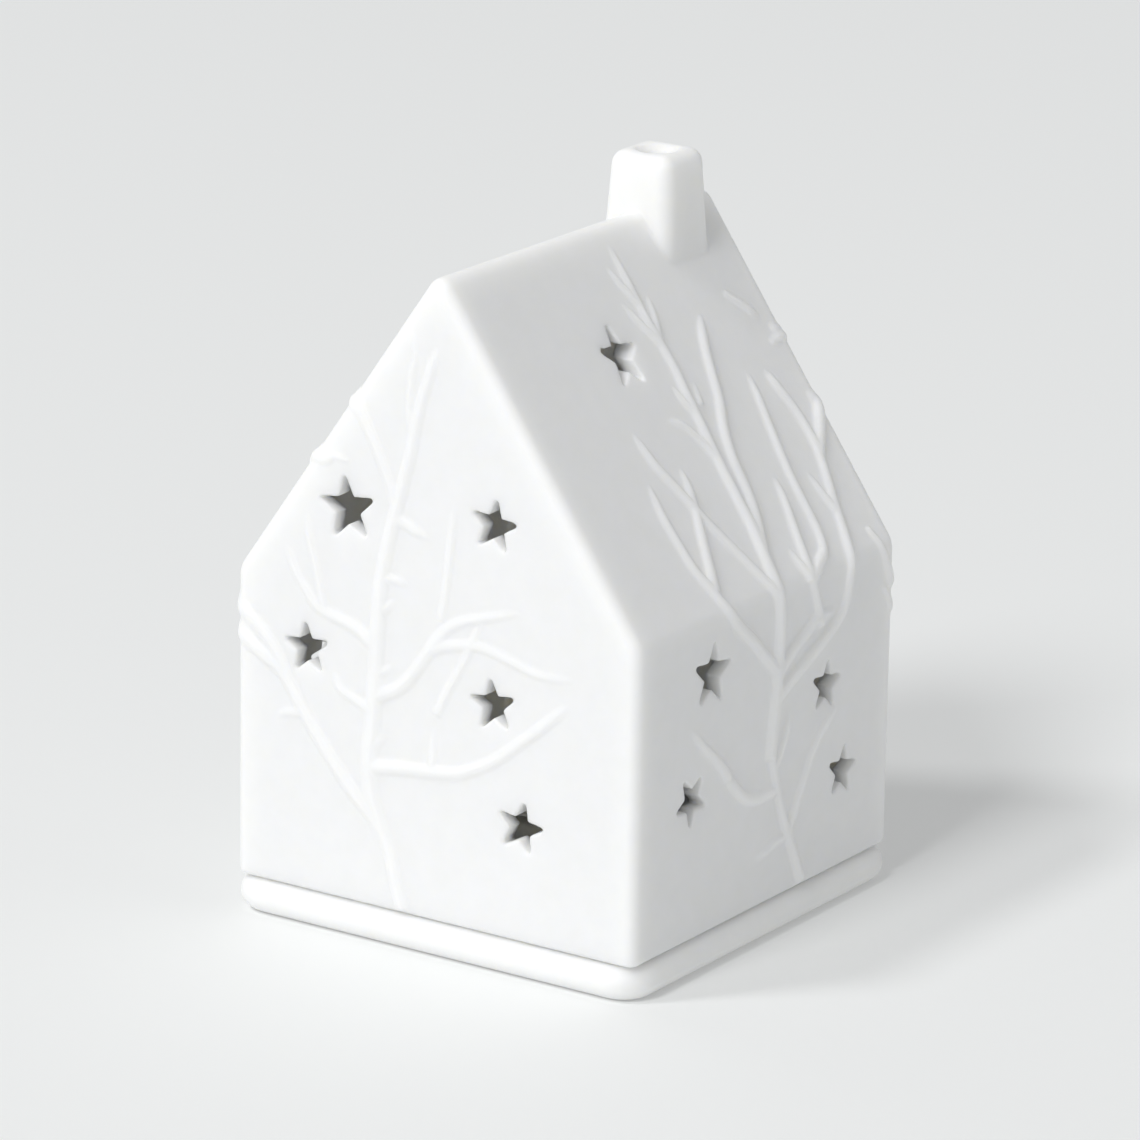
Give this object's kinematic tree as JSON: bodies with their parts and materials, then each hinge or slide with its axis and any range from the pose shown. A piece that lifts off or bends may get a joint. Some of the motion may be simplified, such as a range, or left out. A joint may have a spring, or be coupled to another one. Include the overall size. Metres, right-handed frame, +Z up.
{
  "type": "tealight house",
  "caption": "House-shaped porcelain tealight holder: a cover pierced with stars lifts off a flat base plate, and a tealight stands in a well in the plate.",
  "frame": {"origin": "centre of the base plate's underside, on the surface that the holder stands on", "axes": "+Z up; the front gable faces -Y and the long eaves run along Y, with the chimney at the +Y end of the ridge; +X is to the right of someone who faces the front gable"},
  "size_m": [0.104, 0.103, 0.158],
  "materials": {
    "bisque_porcelain": "unglazed matte bisque, very fine grain",
    "cup_aluminium": "drawn thin sheet, satin",
    "candle_wax": "white paraffin wax, slightly translucent",
    "wick_cotton": "braided cotton, waxed",
    "sustainer_steel": "tinned sheet, stamped"
  },
  "bodies": {
    "base": {"base_plate": "bisque_porcelain"},
    "cover": {"house_cover": "bisque_porcelain"},
    "tealight": {"tealight_cup": "cup_aluminium", "tealight_wax": "candle_wax", "wick": "wick_cotton", "wick_sustainer": "sustainer_steel"}
  },
  "joints": [
    {"name": "cover_lift", "type": "slide", "parent": "base", "child": "cover", "axis": [0, 0, 1], "range_m": [0, 0.08]},
    {"name": "tealight_lift", "type": "slide", "parent": "base", "child": "tealight", "axis": [0, 0, 1], "range_m": [0, 0.04]}
  ]
}
